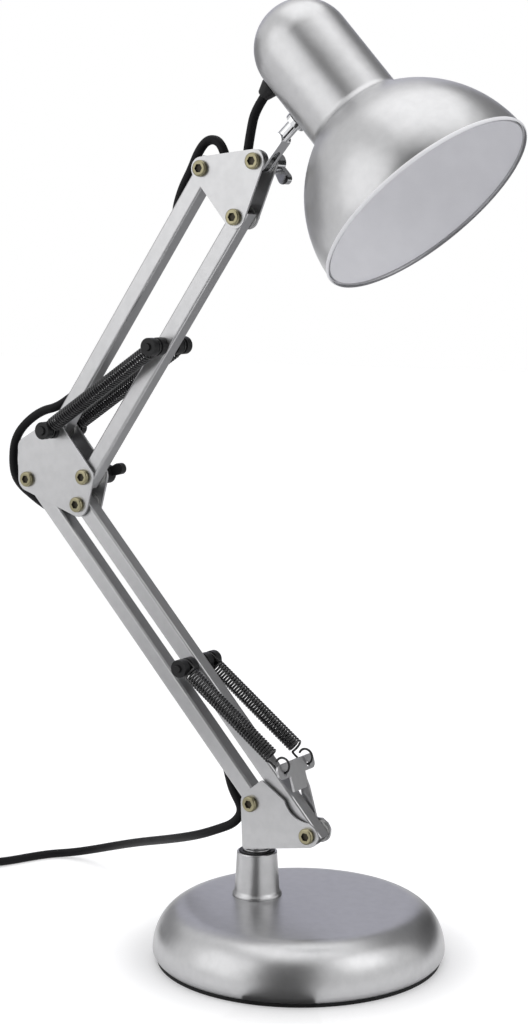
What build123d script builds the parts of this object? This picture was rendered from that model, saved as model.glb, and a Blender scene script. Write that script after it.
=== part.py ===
"""Balanced-arm desk lamp: a weighted round base, two sprung parallelogram arms and a bell shade.

The frame is in millimetres. The origin is the centre of the base on its underside, +Z is up, the arms
move in the XZ plane and the shade reaches towards +X. Places in that plane are written as (x, z).
"""
import math
import os

from build123d import *

# Base and post
BASE_R = 83.0
BASE_TOP = 31.0
BASE_WIDEST_Z = 6.0
BASE_FLAT_R = 61.5
BASE_WALL = 1.2
PAD_R = 80.6
PAD_T = 2.0
WEIGHT_R = 72.0
WEIGHT_T = 16.0
WEIGHT_BOSS_R = 15.0
POST_X = -28.2
POST_FOOT_R = 14.2
POST_FOOT_T = 2.0
POST_LOW_R = 13.0
POST_TOP_R = 11.6
POST_TALL = 25.6
POST_FLOOR = 4.0
BUSH_R = 8.0
BUSH_FLANGE_R = 10.4
BUSH_FLANGE_T = 0.8
SWIVEL_R = 5.0
BOLT_R = 4.0
BOLT_HEAD_R = 7.5
BOLT_HEAD_T = 5.0
BOLT_POCKET_R = 11.0

# Tubes, sheet, washers and screws
TUBE = 10.0
TUBE_WALL = 1.0
TUBE_CORNER = 1.4
TUBE_END = 5.5
SHEET = 1.4
WASHER_R = 6.0
WASHER_T = 1.1
SIDE_PLAY = 0.1
SCREW_R = 2.5
SCREW_TAIL = 1.2
HEAD_R = 4.6
HEAD_T = 2.6
RECESS = 1.3
RECESS_R = 2.5
NUT_R = 4.6
NUT_T = 4.0

# Clearances
RUN_FIT = 0.05
OPEN_FIT = 0.3
SEAT_GAP = 0.1
SOFT_GAP = 0.3

# Linkage at rest: pivots, reaches and angles from +X
LOWER_REAR = (-27.6, 86.0)
LOWER_FRONT = (10.2, 73.0)
LOWER_REACH = 238.5
LOWER_ANGLE = 132.3
UPPER_REAR_STEP = (20.2, 30.7)
UPPER_FRONT_STEP = (42.4, 3.6)
UPPER_REACH = 184.7
UPPER_ANGLE = 54.4
TILT_STEP = (35.0, 3.0)

# Bracket, elbow and head outlines
CHEEK_R = 6.8
CHEEK_TOE = (-31.5, 60.8, 2.0)
CHEEK_TOP = (-20.2, 98.8, 1.6)
CHEEK_SCOOP = (9.7, 95.7, 15.5)
FOOT_LONG = 14.6
FOOT_SHIFT = 2.6
FOOT_Z = 63.0
FOOT_TALL = 9.0
FOOT_NECK_R = 6.0
FOOT_COLLAR_R = 8.0
TAB_FOOT = (1.4, 97.0)
TAB_TOP = (-3.4, 113.6)
TAB_BAR_Z = 105.5
TAB_BAR_HALF = 19.0
TAB_FINGER_WIDE = 6.5
ELBOW_R = 7.4
ELBOW_PIN_R = 6.4
ELBOW_CORNER = (-1.0, 18.8, 6.4)
HEAD_PLATE_R = 6.5

# Springs, their pins and spools
SPRING_Y = 12.2
SPRING_WIRE = 2.0
SPRING_R = 3.3
SPRING_TURNS = 24
LOWER_PIN_REACH = 119.0
UPPER_PIN_REACH = 96.0
PIN_R = 2.0
SPOOL_R = 5.2
SPOOL_GROOVE_R = 3.1
SPOOL_GROOVE_WIDE = 3.2
SPOOL_FAR = 18.6
ARM_SPOOL_NEAR = 5.6
PIN_END = 1.2
EYE_R = 1.7
LEG_START = 5.0
LEG_END = 7.5
EYE_DOWN = 5.4

# Wing nuts
WING_HUB_R = 5.6
WING_HUB_T = 8.5
WING_SPAN = 14.0
WING_T = 3.4
WING_RISE = 4.2
WING_WASHER_T = 1.0
ELBOW_WING_TURN = 20.0
HEAD_WING_TURN = -55.0

# Head fork and shade
STEM_RISE = 42.0
STEM_REACH = 59.8
EAR_R = 5.8
EAR_T = 2.2
EAR_GAP = 5.2
FORK_LONG = 17.0
FORK_NECK = 7.6
STEM_R = 3.6
STEM_COLLAR_R = 6.0
STEM_COLLAR_T = 3.0
STEM_NUT_R = 6.6
STEM_NUT_T = 4.0
NECK_R = 27.0
DOME_BACK = 25.3
NECK_LONG = 48.0
NECK_FILLET = 6.0
BELL_START = 57.0
RIM_REACH = 114.4
RIM_R = 64.0
LIP_WIDE = 2.6
LIP_STEP = 0.7
SHADE_WALL = 1.0
HOLDER_R = 17.4
HOLDER_BACK = 9.0
HOLDER_LONG = 48.0
HOLDER_BORE_R = 13.8
HOLDER_SKIRT_R = 15.6
HOLDER_FLOOR = 12.0
CONTACT_R = 4.5
CONTACT_T = 2.4
STRAP_WIDE = 13.0
STRAP_T = 1.2
GLAND_R = 4.5
GLAND_FLANGE_R = 5.8
GLAND_FLANGE_T = 1.6
GLAND_TIP_R = 3.6
GLAND_OUT = 8.0

# Round lead through the lamp and on the table
LEAD_SEAT = 0.15
LEAD_D = 5.3
SLOT_WIDE = 7.0
SLOT_LONG = 18.0
LEAD_JOINT = 0.1
LEAD_STRAIGHT = 3.0
GLAND_RUN = 6.0
UPPER_SLOT_LOW = 21.0
UPPER_SLOT_BACK = 28.7
LOWER_SLOT_LOW = 27.0
LOWER_SLOT_BACK = 17.5
# Lead at the head: places along the upper arm from its far pivot, then steps from that pivot
HEAD_LOOP_ARM = [(-30.2, 5.4), (-18.7, 8.6), (-6.7, 9.4), (4.3, 11.2), (12.8, 10.0), (16.8, 3.6), (13.3, -4.4)]
HEAD_LOOP_DROP = [(12.1, 1.3), (15.4, -4.9), (21.6, -5.9), (25.2, 0.1)]
HEAD_RISE = (27.4, 15.7)
HEAD_JOINTS = (0.42, 0.4)
# Lead at the elbow: steps from the lower arm's far pivot, and places along the lower arm from it
ELBOW_LOOP = [(5.1, 41.0), (-8.9, 32.0), (-16.5, 21.6)]
ELBOW_JOINT = 0.45
ELBOW_DROP = [(-17.9, 5.6), (-13.5, -3.8)]
ELBOW_TUCK = [(-8.0, 8.6), (-19.0, 4.6)]
# Lead below the lower arm: steps from the lower arm's near pivot to where it hangs free
FOLD = [(-12.0, -10.4), (-17.4, -16.4)]
COIL_ENTRY = (-269.6, 0.6)
COIL_R = 31.0
COIL_PITCH = 6.0
COIL_LAYERS = 4
COIL_HALF_TURNS = 3
COIL_RISE = 5.8
COIL_TUCK = 1.6
PLUG_RUN = [(0, 15, 0), (-3.5, 29, -5.5), (-14, 40, -13.4), (-29, 45, -13.4)]
TIE_WIDE = 8.0
TIE_T = 0.8
PLUG_LONG = 34.0
PLUG_WIDE = 26.0
PLUG_TALL = 15.0
PLUG_NOSE = 14.0
PRONG_LONG = 17.0
PRONG_WIDE = 6.3
PRONG_T = 1.5
PRONG_GAP = 12.7

PLATE_IN = TUBE / 2 + SIDE_PLAY + WASHER_T
PLATE_OUT = PLATE_IN + SHEET
HOOK_R = SPOOL_GROOVE_R + SPRING_WIRE / 2 + SOFT_GAP


def along(start, angle, reach):
    """Place at a reach from a start, on a line at an angle from +X."""
    turn = math.radians(angle)
    return (start[0] + reach * math.cos(turn), start[1] + reach * math.sin(turn))


def shift(start, step):
    """Place moved by a step."""
    return (start[0] + step[0], start[1] + step[1])


ELBOW_REAR = along(LOWER_REAR, LOWER_ANGLE, LOWER_REACH)
ELBOW_FRONT = along(LOWER_FRONT, LOWER_ANGLE, LOWER_REACH)
UPPER_REAR = shift(ELBOW_REAR, UPPER_REAR_STEP)
UPPER_FRONT = shift(ELBOW_REAR, UPPER_FRONT_STEP)
HEAD_REAR = along(UPPER_REAR, UPPER_ANGLE, UPPER_REACH)
HEAD_FRONT = along(UPPER_FRONT, UPPER_ANGLE, UPPER_REACH)
TILT = shift(HEAD_REAR, TILT_STEP)
LOWER_PIN = along(LOWER_FRONT, LOWER_ANGLE, LOWER_PIN_REACH)
UPPER_PIN = along(UPPER_FRONT, UPPER_ANGLE, UPPER_PIN_REACH)
NECK_AT = along(TILT, STEM_RISE, STEM_REACH)


def frame_at(place, angle):
    """Plane at a place: x along the angle, y to its left, z towards the front."""
    turn = math.radians(angle)
    return Plane(origin=(place[0], 0, place[1]), x_dir=(math.cos(turn), 0, math.sin(turn)), z_dir=(0, -1, 0))


LOWER_FRAME = frame_at(LOWER_REAR, LOWER_ANGLE)
UPPER_FRAME = frame_at(UPPER_REAR, UPPER_ANGLE)
SHADE_FRAME = frame_at(NECK_AT, STEM_RISE - 90)
STEM_FRAME = frame_at(TILT, STEM_RISE)


def slab(outline, near, far):
    """Solid of an outline in the plane of the arms, between two depths."""
    return extrude(Plane.XZ.offset(-far) * outline, far - near)


def rod(place, radius, near, far):
    """Round bar along Y."""
    return slab(Pos(*place) * Circle(radius), near, far)


def hull(*rings):
    """Convex outline round circles given as (x, z, radius)."""
    return make_hull([edge for x, z, r in rings for edge in (Pos(x, z) * Circle(r)).edges()])


def ringed(places, radius):
    """Circles of one radius at places."""
    return [(x, z, radius) for x, z in places]


def turned(profile):
    """Solid turned about Z from a closed profile of (radius, height) points."""
    return revolve(Plane.XZ * make_face(Polyline(*profile, close=True)), Axis.Z)


def write(name, *solids):
    """One file for a node of one or more solids."""
    shape = solids[0] if len(solids) == 1 else Compound(children=list(solids))
    export_step(shape, f"parts/{name}.step")


def pan_screw(place, far):
    """Recessed pan-head screw from the front, its shank ending at a depth."""
    head = rod(place, HEAD_R, -PLATE_OUT - HEAD_T, -PLATE_OUT)
    head = fillet(head.edges().group_by(Axis.Y)[0], HEAD_T * 0.45)
    socket = slab(Pos(*place) * RegularPolygon(RECESS_R, 6), -PLATE_OUT - HEAD_T, -PLATE_OUT - HEAD_T + RECESS)
    return head - socket + rod(place, SCREW_R, -PLATE_OUT, far)


def hex_nut(place, near):
    """Hexagon nut on the back of a screw."""
    bore = Circle(SCREW_R + RUN_FIT)
    return slab(Pos(*place) * (RegularPolygon(NUT_R, 6) - bore), near, near + NUT_T)


def washers(places):
    """Two washers at each pivot, one on each side of the tube."""
    ring = Circle(WASHER_R) - Circle(SCREW_R + RUN_FIT)
    inner = PLATE_IN - WASHER_T
    solids = []
    for place in places:
        solids.append(slab(Pos(*place) * ring, -PLATE_IN, -inner))
        solids.append(slab(Pos(*place) * ring, inner, PLATE_IN))
    return solids


def drilled(outline, places, fit=RUN_FIT):
    """Outline with a screw hole at each place."""
    for place in places:
        outline -= Pos(*place) * Circle(SCREW_R + fit)
    return outline


def square_tube(frame, reach, far_fit, pins=(), slots=()):
    """Square tube between two pivots, drilled for its pins and slotted on its left face for the lead."""
    bore = TUBE - 2 * TUBE_WALL
    section = RectangleRounded(TUBE, TUBE, TUBE_CORNER) - RectangleRounded(bore, bore, TUBE_CORNER - TUBE_WALL)
    tube = extrude(Plane.YZ.offset(-TUBE_END) * section, reach + 2 * TUBE_END)
    holes = [(0, SCREW_R + RUN_FIT), (reach, SCREW_R + far_fit)] + [(x, PIN_R + RUN_FIT) for x in pins]
    for x, radius in holes:
        tube -= Pos(x, 0, 0) * Cylinder(radius, 2 * TUBE)
    for x in slots:
        tube -= Pos(x, TUBE / 2, 0) * Box(SLOT_LONG, 3 * TUBE_WALL, SLOT_WIDE)
    return frame * tube


def wing_nut(place, turn):
    """Wing nut on the back of a pivot: round hub and two lobes."""
    near = PLATE_OUT + WING_WASHER_T
    hub = Circle(WING_HUB_R)
    body = rod(place, WING_HUB_R, near, near + WING_HUB_T)
    lobe = hull((0, 0, WING_T * 0.6), (WING_SPAN - WING_T, 0, WING_T))
    lobes = lobe + Rot(0, 0, 180) * lobe
    wings = slab(Pos(*place) * Rot(0, 0, turn) * (lobes + hub), near + WING_RISE, near + WING_HUB_T)
    return body + wings - rod(place, SCREW_R + RUN_FIT, near, near + WING_HUB_T)


def spool_pair(place, near, pin_radius):
    """Two bobbins on one pin, mirrored about the plane of the arms, grooved for the springs' hooks."""
    half = SPOOL_GROOVE_WIDE / 2
    body = rod(place, SPOOL_R, near, SPOOL_FAR) - rod(place, pin_radius + RUN_FIT, near, SPOOL_FAR)
    groove = Pos(*place) * (Circle(SPOOL_R) - Circle(SPOOL_GROOVE_R))
    back = body - slab(groove, SPRING_Y - half, SPRING_Y + half)
    return [back, mirror(back, Plane.XZ)]


def wire_gap(wire, diameter, radius=SPRING_R, turns=4):
    """Least gap between a wound wire and itself over some turns, measured on points along it."""
    points = [edge @ (i / 8) for edge in wire.edges() for i in range(8)]
    points = [(point.X, point.Y, point.Z) for point in points]
    gaps = [
        math.dist(points[i], points[j])
        for i in range(len(points)) for j in range(i + 10, min(i + 16 * turns, len(points)))
    ]
    return min(gaps) - diameter


def spring(start, end):
    """Front coil spring between two hook centres: hook, leg, coil, leg and hook in one unbroken wire."""
    quarter = SPRING_R * 0.8
    lean = 2 * (HOOK_R - SPRING_R)
    rise = math.sqrt(math.dist(start, end) ** 2 - lean**2)
    turn = math.atan2(end[1] - start[1], end[0] - start[0]) - math.atan2(lean, rise)
    low, high = LEG_START + quarter, rise - LEG_END - quarter
    halves = 2 * SPRING_TURNS + 1
    step = (high - low) / halves
    bulge = math.hypot(2 * SPRING_R, step) / 2
    # Local axes: z along the spring, x to its left in the plane of the arms, y towards the front.
    middle = SPRING_R - HOOK_R
    edges = hook_edges((middle, -quarter, 0), LEG_START)
    edges.append(quarter_edge((SPRING_R, -quarter, LEG_START), (SPRING_R, 0, low)))
    for k in range(halves):
        sign = 1 if k % 2 == 0 else -1
        begin, finish = low + k * step, low + (k + 1) * step
        crest = (0, sign * bulge, (begin + finish) / 2)
        edges.append(ThreePointArc((sign * SPRING_R, 0, begin), crest, (-sign * SPRING_R, 0, finish)))
    edges.append(quarter_edge((-SPRING_R, -quarter, rise - LEG_END), (-SPRING_R, 0, high)))
    flip = Axis((0, 0, rise / 2), (0, 1, 0))
    edges += [edge.rotate(flip, 180) for edge in hook_edges((middle, -quarter, 0), LEG_END)]
    wire = Wire(edges)
    coil = sweep(Plane(origin=wire @ 0, z_dir=wire % 0) * Circle(SPRING_WIRE / 2), path=wire)
    print(f"spring self gap {wire_gap(wire, SPRING_WIRE):.2f} mm, pitch {2 * step:.2f} mm")
    place = Plane(
        origin=(start[0], -SPRING_Y, start[1]),
        x_dir=(-math.sin(turn), 0, math.cos(turn)),
        z_dir=(math.cos(turn), 0, math.sin(turn)),
    )
    return place * Pos(-middle, quarter, 0) * coil


def hook_edges(centre, leg):
    """Straight end, five eighths of a turn round a pin and a straight leg away from it."""
    x, y, z = centre
    half = HOOK_R * math.sqrt(0.5)
    tail = SPRING_WIRE * math.sqrt(0.5)
    eighth = math.radians(157.5)
    bend = (x - half, y, z + half)
    between = (x + HOOK_R * math.cos(eighth), y, z + HOOK_R * math.sin(eighth))
    return [
        Line((bend[0] + tail, y, bend[2] + tail), bend),
        ThreePointArc(bend, between, (x - HOOK_R, y, z)),
        ThreePointArc((x - HOOK_R, y, z), (x, y, z - HOOK_R), (x + HOOK_R, y, z)),
        Line((x + HOOK_R, y, z), (x + HOOK_R, y, leg)),
    ]


def quarter_edge(leg_end, coil_end):
    """Quarter turn from a leg along the spring to the first turn across it."""
    rise = coil_end[2] - leg_end[2]
    run = coil_end[1] - leg_end[1]
    half = math.sqrt(0.5)
    middle = (leg_end[0], coil_end[1] - run * half, leg_end[2] + rise * half)
    return ThreePointArc(leg_end, middle, coil_end)


def route(points):
    """Straight runs joined by the largest tangent arcs that they leave room for, and the arcs' radii."""
    places = [Vector(*point) for point in points]
    radii = []
    for before, here, after in zip(places, places[1:], places[2:]):
        turn = math.radians((here - before).get_angle(after - here))
        radii.append(0.45 * min((here - before).length, (after - here).length) / math.tan(turn / 2))
    return FilletPolyline(*places, radius=radii), radii


def trimmed(points, first=True, last=True):
    """Points of a lead whose ends stop half a joint short, so that it meets the next one face to face."""
    places = [Vector(*point) for point in points]
    if first:
        places[0] += (places[1] - places[0]).normalized() * (LEAD_JOINT / 2)
    if last:
        places[-1] += (places[-2] - places[-1]).normalized() * (LEAD_JOINT / 2)
    return [tuple(place) for place in places]


def lead_stretch(name, points):
    """Stretch of the lead along places in the plane of the arms."""
    path, radii = route(trimmed([(x, 0, z) for x, z in points]))
    print(name, "length %.0f mm, radii" % path.length, [round(radius, 1) for radius in radii])
    return sweep(Plane(origin=path @ 0, z_dir=path % 0) * Circle(LEAD_D / 2), path=path)


def local(frame, *points):
    """Places in the plane of the arms from local (x, y) points of a frame."""
    moved = [frame.from_local_coords((x, y, 0)) for x, y in points]
    return [(point.X, point.Z) for point in moved]


# Base: pressed shell, cast weight, pad, bolt, post socket and swivel bush
def base_shell():
    """Round pressed shell with a big rounded shoulder, open underneath."""
    def form(inset):
        side, top, flat = BASE_R - inset, BASE_TOP - inset, BASE_FLAT_R - inset
        shoulder = EllipticalCenterArc(
            (flat, BASE_WIDEST_Z), side - flat, top - BASE_WIDEST_Z, start_angle=0, arc_size=90
        )
        tuck = Line((PAD_R - inset, PAD_T), (side, BASE_WIDEST_Z))
        lines = [
            tuck, shoulder, Line((flat, top), (0, top)), Line((0, top), (0, PAD_T)),
            Line((0, PAD_T), (PAD_R - inset, PAD_T)),
        ]
        return revolve(Plane.XZ * make_face(lines), Axis.Z)
    return form(0) - form(BASE_WALL) - Pos(POST_X, 0, BASE_TOP) * Cylinder(BOLT_R + OPEN_FIT, 4 * BASE_WALL)


def base_weight():
    """Cast disc that rests on the pad, with a boss up to the shell under the post."""
    boss_top = BASE_TOP - BASE_WALL
    disc = Pos(0, 0, PAD_T + WEIGHT_T / 2) * Cylinder(WEIGHT_R, WEIGHT_T)
    disc = chamfer(disc.edges().group_by(Axis.Z)[-1], 2)
    boss = Pos(POST_X, 0, (PAD_T + boss_top) / 2) * Cylinder(WEIGHT_BOSS_R, boss_top - PAD_T)
    bolt_way = Pos(POST_X, 0, boss_top / 2) * Cylinder(BOLT_R + OPEN_FIT, 2 * BASE_TOP)
    pocket = Pos(POST_X, 0, PAD_T + BOLT_HEAD_T) * Cylinder(BOLT_POCKET_R, 2 * BOLT_HEAD_T)
    return disc + boss - bolt_way - pocket


POST_TOP = BASE_TOP + POST_TALL
BUSH_TOP = POST_TOP + BUSH_FLANGE_T
bolt_seat = PAD_T + 2 * BOLT_HEAD_T
post = turned([
    (0, 0), (POST_FOOT_R, 0), (POST_FOOT_R, POST_FOOT_T * 0.5), (POST_LOW_R, POST_FOOT_T),
    (POST_TOP_R, POST_TALL), (BUSH_R, POST_TALL), (BUSH_R, POST_FLOOR), (0, POST_FLOOR),
])
post -= Cylinder(BOLT_R + RUN_FIT, 3 * POST_FLOOR)
bush = turned([
    (SWIVEL_R + RUN_FIT, POST_FLOOR), (BUSH_R - RUN_FIT, POST_FLOOR), (BUSH_R - RUN_FIT, POST_TALL),
    (BUSH_FLANGE_R, POST_TALL), (BUSH_FLANGE_R, POST_TALL + BUSH_FLANGE_T),
    (SWIVEL_R + RUN_FIT, POST_TALL + BUSH_FLANGE_T),
])
bolt_head = Pos(POST_X, 0, bolt_seat - BOLT_HEAD_T) * extrude(RegularPolygon(BOLT_HEAD_R, 6), BOLT_HEAD_T)
bolt_long = BASE_TOP + POST_FLOOR - SEAT_GAP - bolt_seat
bolt = bolt_head + Pos(POST_X, 0, bolt_seat + bolt_long / 2) * Cylinder(BOLT_R, bolt_long)

# Lower bracket: two cheeks, the T-shaped spring tab and the swivel foot
cheek_outline = hull(*ringed([LOWER_REAR, LOWER_FRONT], CHEEK_R), CHEEK_TOE, CHEEK_TOP)
cheek_outline -= Pos(*CHEEK_SCOOP[:2]) * Circle(CHEEK_SCOOP[2])
cheek_outline = drilled(cheek_outline, [LOWER_REAR, LOWER_FRONT])
TAB_ANGLE = math.degrees(math.atan2(TAB_TOP[1] - TAB_FOOT[1], TAB_TOP[0] - TAB_FOOT[0]))
TAB_TALL = math.dist(TAB_FOOT, TAB_TOP)
hook_place = along(TAB_TOP, TAB_ANGLE, HOOK_R - EYE_DOWN)


def spring_tab():
    """T-shaped flange across the lamp, with an eye for a spring at each end."""
    bar_low = TAB_TALL * (TAB_BAR_Z - TAB_FOOT[1]) / (TAB_TOP[1] - TAB_FOOT[1])
    bar_tall = TAB_TALL - bar_low
    stem = Pos(0, TAB_TALL / 2) * Rectangle(2 * PLATE_OUT, TAB_TALL)
    bar = Pos(0, bar_low + bar_tall / 2) * RectangleRounded(2 * TAB_BAR_HALF, bar_tall, bar_tall * 0.4)
    outline = stem + bar
    for side in (-1, 1):
        outline -= Pos(side * SPRING_Y, TAB_TALL - EYE_DOWN) * Circle(EYE_R)
    turn = math.radians(TAB_ANGLE)
    plane = Plane(
        origin=(TAB_FOOT[0], 0, TAB_FOOT[1]), x_dir=(0, 1, 0), z_dir=(math.sin(turn), 0, -math.cos(turn))
    )
    return extrude(plane * outline, SHEET / 2, both=True)


def tab_finger():
    """Upright finger of the back cheek that carries the tab."""
    low = along(TAB_FOOT, TAB_ANGLE, -TAB_FINGER_WIDE * 2.8)
    high = along(TAB_FOOT, TAB_ANGLE, TAB_TALL * 0.5)
    across = TAB_ANGLE + 90
    corners = [
        along(low, across, TAB_FINGER_WIDE), along(high, across, TAB_FINGER_WIDE * 0.5), high,
        along(TAB_FOOT, across, -SHEET), along(low, across, -SHEET),
    ]
    return slab(make_face(Polyline(*corners, close=True)), PLATE_IN, PLATE_OUT)


front_cheek = slab(cheek_outline, -PLATE_OUT, -PLATE_IN)
back_cheek = slab(cheek_outline, PLATE_IN, PLATE_OUT) + tab_finger() + spring_tab()
foot_block = Pos(POST_X + FOOT_SHIFT, 0, FOOT_Z + FOOT_TALL / 2) * Box(FOOT_LONG, 2 * PLATE_IN, FOOT_TALL)
foot_block = fillet(foot_block.edges().filter_by(Axis.Y), 1.5)
neck_low = BUSH_TOP + SIDE_PLAY
foot_neck = Pos(POST_X, 0, (neck_low + FOOT_Z) / 2) * Cylinder(FOOT_NECK_R, FOOT_Z - neck_low)
pin_low = BASE_TOP + POST_FLOOR + SEAT_GAP
foot_pin = Pos(POST_X, 0, (pin_low + neck_low) / 2) * Cylinder(SWIVEL_R, neck_low - pin_low)
collar_t = CHEEK_TOE[1] - CHEEK_TOE[2] - SOFT_GAP - neck_low
foot_collar = Pos(POST_X, 0, neck_low + collar_t / 2) * Cylinder(FOOT_COLLAR_R, collar_t)
swivel_foot = foot_block + foot_neck + foot_collar + foot_pin

# Elbow and head plates
elbow_pivots = [ELBOW_REAR, ELBOW_FRONT, UPPER_FRONT]
corner = shift(ELBOW_REAR, ELBOW_CORNER[:2])
elbow_outline = hull(
    *ringed(elbow_pivots, ELBOW_R), (*UPPER_REAR, ELBOW_PIN_R), (*corner, ELBOW_CORNER[2])
)
elbow_outline = drilled(elbow_outline, elbow_pivots + [UPPER_REAR])
head_pivots = [HEAD_REAR, HEAD_FRONT, TILT]
head_outline = drilled(hull(*ringed(head_pivots, HEAD_PLATE_R)), head_pivots)

# Lead through the lamp: places beside the arms, then the free stretch on the table
SLOT_STEP = SLOT_LONG / 2 + 0.5
LEAD_IN = TUBE / 2 - TUBE_WALL - LEAD_SEAT - LEAD_D / 2
UPPER_SLOTS = (UPPER_SLOT_LOW, UPPER_REACH - UPPER_SLOT_BACK)
LOWER_SLOTS = (LOWER_SLOT_LOW, LOWER_REACH - LOWER_SLOT_BACK)


def inside(slots):
    """Where the lead lies against the tube's wall between its two slots."""
    return [(slots[0] + SLOT_STEP, LEAD_IN), (slots[1] - SLOT_STEP, LEAD_IN)]


def steps(start, moves):
    """Places at given steps from a start."""
    return [shift(start, move) for move in moves]


def between(start, end, share):
    """Place at a share of the way between two places."""
    return tuple(a + (b - a) * share for a, b in zip(start, end))


upper_inside, lower_inside = inside(UPPER_SLOTS), inside(LOWER_SLOTS)
loop_arm = [(UPPER_REACH + x, y) for x, y in HEAD_LOOP_ARM]
loop_start = (upper_inside[1][0] + LEAD_STRAIGHT, LEAD_IN)
head_drop = steps(HEAD_REAR, HEAD_LOOP_DROP)
head_rise = shift(HEAD_REAR, HEAD_RISE)
gland_entry = (-DOME_BACK, -NECK_R - GLAND_OUT - GLAND_RUN)
gland_line = local(SHADE_FRAME, gland_entry, (-DOME_BACK, 0), (-DOME_BACK + HOLDER_BACK - SEAT_GAP, 0))
head_dip = between(head_drop[-1], head_rise, HEAD_JOINTS[0])
head_mid = between(head_rise, gland_line[0], HEAD_JOINTS[1])
head_loop_points = local(UPPER_FRAME, upper_inside[1], loop_start, *loop_arm) + head_drop + [head_dip]
head_lower_points = [head_dip, head_rise, head_mid]
head_upper_points = [head_mid] + gland_line
elbow_start = (upper_inside[0][0] - LEAD_STRAIGHT, LEAD_IN)
elbow_upper_points = local(UPPER_FRAME, upper_inside[0], elbow_start, (22.0, 4.2), (9.0, 9.6))
elbow_upper_points += steps(ELBOW_REAR, ELBOW_LOOP)
elbow_drop = steps(ELBOW_REAR, ELBOW_DROP)
elbow_mid = between(elbow_upper_points[-1], elbow_drop[0], ELBOW_JOINT)
elbow_upper_points += [elbow_mid]
elbow_tuck = [(LOWER_REACH + x, y) for x, y in ELBOW_TUCK]
elbow_end = (lower_inside[1][0] + LEAD_STRAIGHT, LEAD_IN)
elbow_lower_points = [elbow_mid] + elbow_drop + local(LOWER_FRAME, *elbow_tuck, elbow_end, lower_inside[1])

# Free lead from the lower arm to the table, in (x, y, z)
lead_next = (lower_inside[0][0] - LEAD_STRAIGHT, LEAD_IN)
lead_exit = local(LOWER_FRAME, lower_inside[0], lead_next, (26.0, 4.6), (15.0, 10.2), (4.0, 11.6))
lead_exit = [(x, 0, z) for x, z in lead_exit + steps(LOWER_REAR, FOLD)]
lead_floor = LEAD_D / 2
coil_floor = lead_floor + TIE_T + SEAT_GAP
lead_points = lead_exit + [
    (-54.0, 0.6, 65.4), (-70.0, 4.0, 58.4), (-93.0, 16.0, 49.6),
    (-120.0, 33.0, 39.6), (-152.0, 53.0, 28.0), (-182.0, 68.0, 17.0), (-206.0, 75.0, 8.6),
    (-224.0, 75.0, 3.6), (-236.0, 67.6, lead_floor), (-243.0, 54.6, lead_floor), (-249.0, 40.4, lead_floor),
    (-256.0, 26.4, coil_floor), (-263.6, 12.6, coil_floor), (*COIL_ENTRY, coil_floor),
]
lead_heading = Vector(*lead_points[-1]) - Vector(*lead_points[-2])


def lead_coil():
    """Loops of half turns that spiral in and out and climb where the spiral turns, then a run to the plug."""
    rings = [COIL_R + COIL_PITCH * (COIL_HALF_TURNS / 2 - k) / 2 for k in range(COIL_HALF_TURNS + 1)]
    here, sign, edges = Vector(rings[0], 0, coil_floor), 1, []
    for layer in range(COIL_LAYERS):
        way = rings if layer % 2 == 0 else rings[::-1]
        tuck = way[-1] + math.copysign(COIL_TUCK, way[-1] - way[0])
        stops = [(radius, 0) for radius in way[1:]] + [(tuck, COIL_RISE)] * (layer < COIL_LAYERS - 1)
        for radius, climb in stops:
            there = Vector(-sign * radius, 0, here.Z + climb)
            crest = (here + there) * 0.5 - Vector(0, sign * (there - here).length / 2, 0)
            edges.append(ThreePointArc(here, crest, there))
            here, sign = there, -sign
    tail = [here] + [here + Vector(*step) for step in PLUG_RUN]
    run, radii = route(trimmed(tail, first=False))
    wire = Wire(edges + run.edges())
    tube = sweep(Plane(origin=wire @ 0, z_dir=wire % 0) * Circle(LEAD_D / 2), path=wire)
    print("lead_coil length %.0f mm, plug run radii" % wire.length, [round(radius, 1) for radius in radii])
    print("coil self gap %.2f mm" % wire_gap(Wire(edges), LEAD_D, COIL_R, 12))
    return tube, tail


def coil_frame():
    """Plane of the coil, whose outer turn leaves the lead on the table without a kink."""
    side = Vector(-lead_heading.Y, lead_heading.X, 0).normalized()
    widest = COIL_R + COIL_PITCH * COIL_HALF_TURNS / 4
    return Plane(origin=Vector(*COIL_ENTRY, 0) - side * widest, x_dir=side, z_dir=(0, 0, 1))


def coil_tie():
    """Flat band round the bundle of loops on one side of the coil."""
    inner = COIL_R - COIL_PITCH * COIL_HALF_TURNS / 4 - COIL_TUCK - LEAD_D / 2
    outer = COIL_R + COIL_PITCH * COIL_HALF_TURNS / 4 + COIL_TUCK + LEAD_D / 2
    tall = coil_floor - TIE_T + LEAD_D / 2 + COIL_RISE * (COIL_LAYERS - 1) + SEAT_GAP
    opening = Rectangle(outer - inner, tall)
    band = Rectangle(outer - inner + 2 * TIE_T, tall + 2 * TIE_T) - opening
    place = Plane(origin=(0, (inner + outer) / 2, tall / 2 + TIE_T), x_dir=(0, 1, 0), z_dir=(1, 0, 0))
    return extrude(place * band, TIE_WIDE / 2, both=True)


def plug_at(tail):
    """Plane at the end of the lead: x out of the plug, z up."""
    heading = (tail[-1] - tail[-2]).normalized()
    return Plane(origin=tail[-1], x_dir=(heading.X, heading.Y, 0), z_dir=(0, 0, 1))


def plug_body():
    """Flat moulded plug that lies on the table."""
    half, nose = PLUG_WIDE / 2, LEAD_D
    outline = make_face(Polyline(
        (0, -nose), (PLUG_NOSE, -half), (PLUG_LONG, -half), (PLUG_LONG, half), (PLUG_NOSE, half), (0, nose),
        close=True,
    ))
    body = extrude(outline, PLUG_TALL / 2, both=True)
    body = fillet(body.edges().filter_by(Axis.Z), 2.5)
    return fillet(body.faces().filter_by(Axis.Z).edges(), 1.5)


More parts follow.
